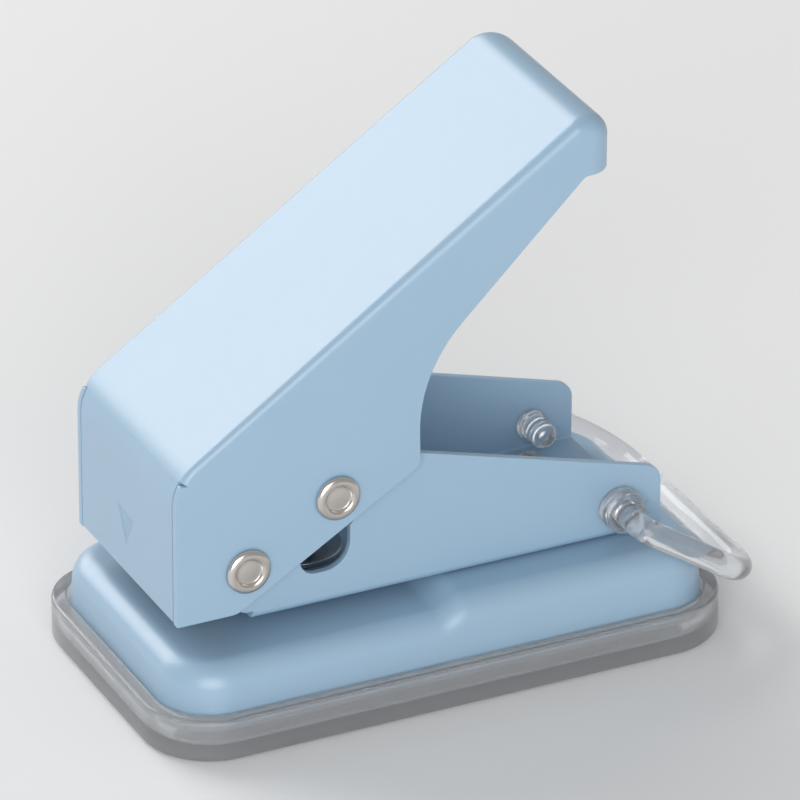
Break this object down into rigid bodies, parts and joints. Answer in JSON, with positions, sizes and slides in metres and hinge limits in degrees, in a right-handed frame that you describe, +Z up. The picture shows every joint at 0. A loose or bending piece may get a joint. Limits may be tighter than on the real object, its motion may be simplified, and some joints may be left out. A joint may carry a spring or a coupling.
{
  "type": "hole punch",
  "caption": "Small lever hole punch: pressed steel handle on a channel frame and base pan, with a translucent press-fit chip tray and a swinging plastic bail.",
  "frame": {"origin": "centre of the chip tray's underside, on the table", "axes": "+X to the rear (the bail end), -X to the paper mouth, +Z up, +Y across to the far side"},
  "size_m": [0.1014, 0.054, 0.0894],
  "materials": {
    "painted_steel": "satin powder coat, pale blue",
    "tray_plastic": "translucent milky moulding",
    "bail_plastic": "translucent milky moulding",
    "nickel_plate": "bright nickel plate",
    "tool_steel": "turned and ground",
    "nylon": "plain moulding"
  },
  "bodies": {
    "base": {"base_plate": "painted_steel", "die_bush": "tool_steel", "frame_channel": "painted_steel", "frame_rivet_1": "nickel_plate", "frame_rivet_2": "nickel_plate", "frame_rivet_3": "nickel_plate", "frame_rivet_4": "nickel_plate", "guide_bush": "tool_steel", "return_spring": "tool_steel", "pivot_sleeve": "tool_steel", "pivot_washer_near": "nylon", "pivot_washer_far": "nylon"},
    "lever": {"handle": "painted_steel", "pivot_rivet": "nickel_plate", "drive_rivet": "nickel_plate", "drive_roller": "tool_steel", "drive_washer_near": "nylon", "drive_washer_far": "nylon"},
    "punch": {"punch_pin": "tool_steel"},
    "bail": {"bail_loop": "bail_plastic"},
    "tray": {"chip_tray": "tray_plastic"}
  },
  "joints": [
    {"name": "handle_pivot", "type": "hinge", "parent": "base", "child": "lever", "pos_m": [-0.03148, 0, 0.02658], "axis": [0, 1, 0], "range_deg": [0, 18], "stiffness_Nm_per_rad": 0.06, "springref_deg": -45.84},
    {"name": "punch_slide", "type": "slide", "parent": "base", "child": "punch", "axis": [0, 0, -1], "range_m": [0, 0.005], "deforming": ["return_spring"]},
    {"name": "bail_swing", "type": "hinge", "parent": "base", "child": "bail", "pos_m": [0.0319, 0, 0.0216], "axis": [0, 1, 0], "range_deg": [-150, 0]},
    {"name": "tray_release", "type": "slide", "parent": "base", "child": "tray", "axis": [0, 0, -1], "range_m": [0, 0.012]}
  ],
  "couplings": [
    {"joint": "punch_slide", "follows": "handle_pivot", "m_per_rad": 0.01588}
  ]
}
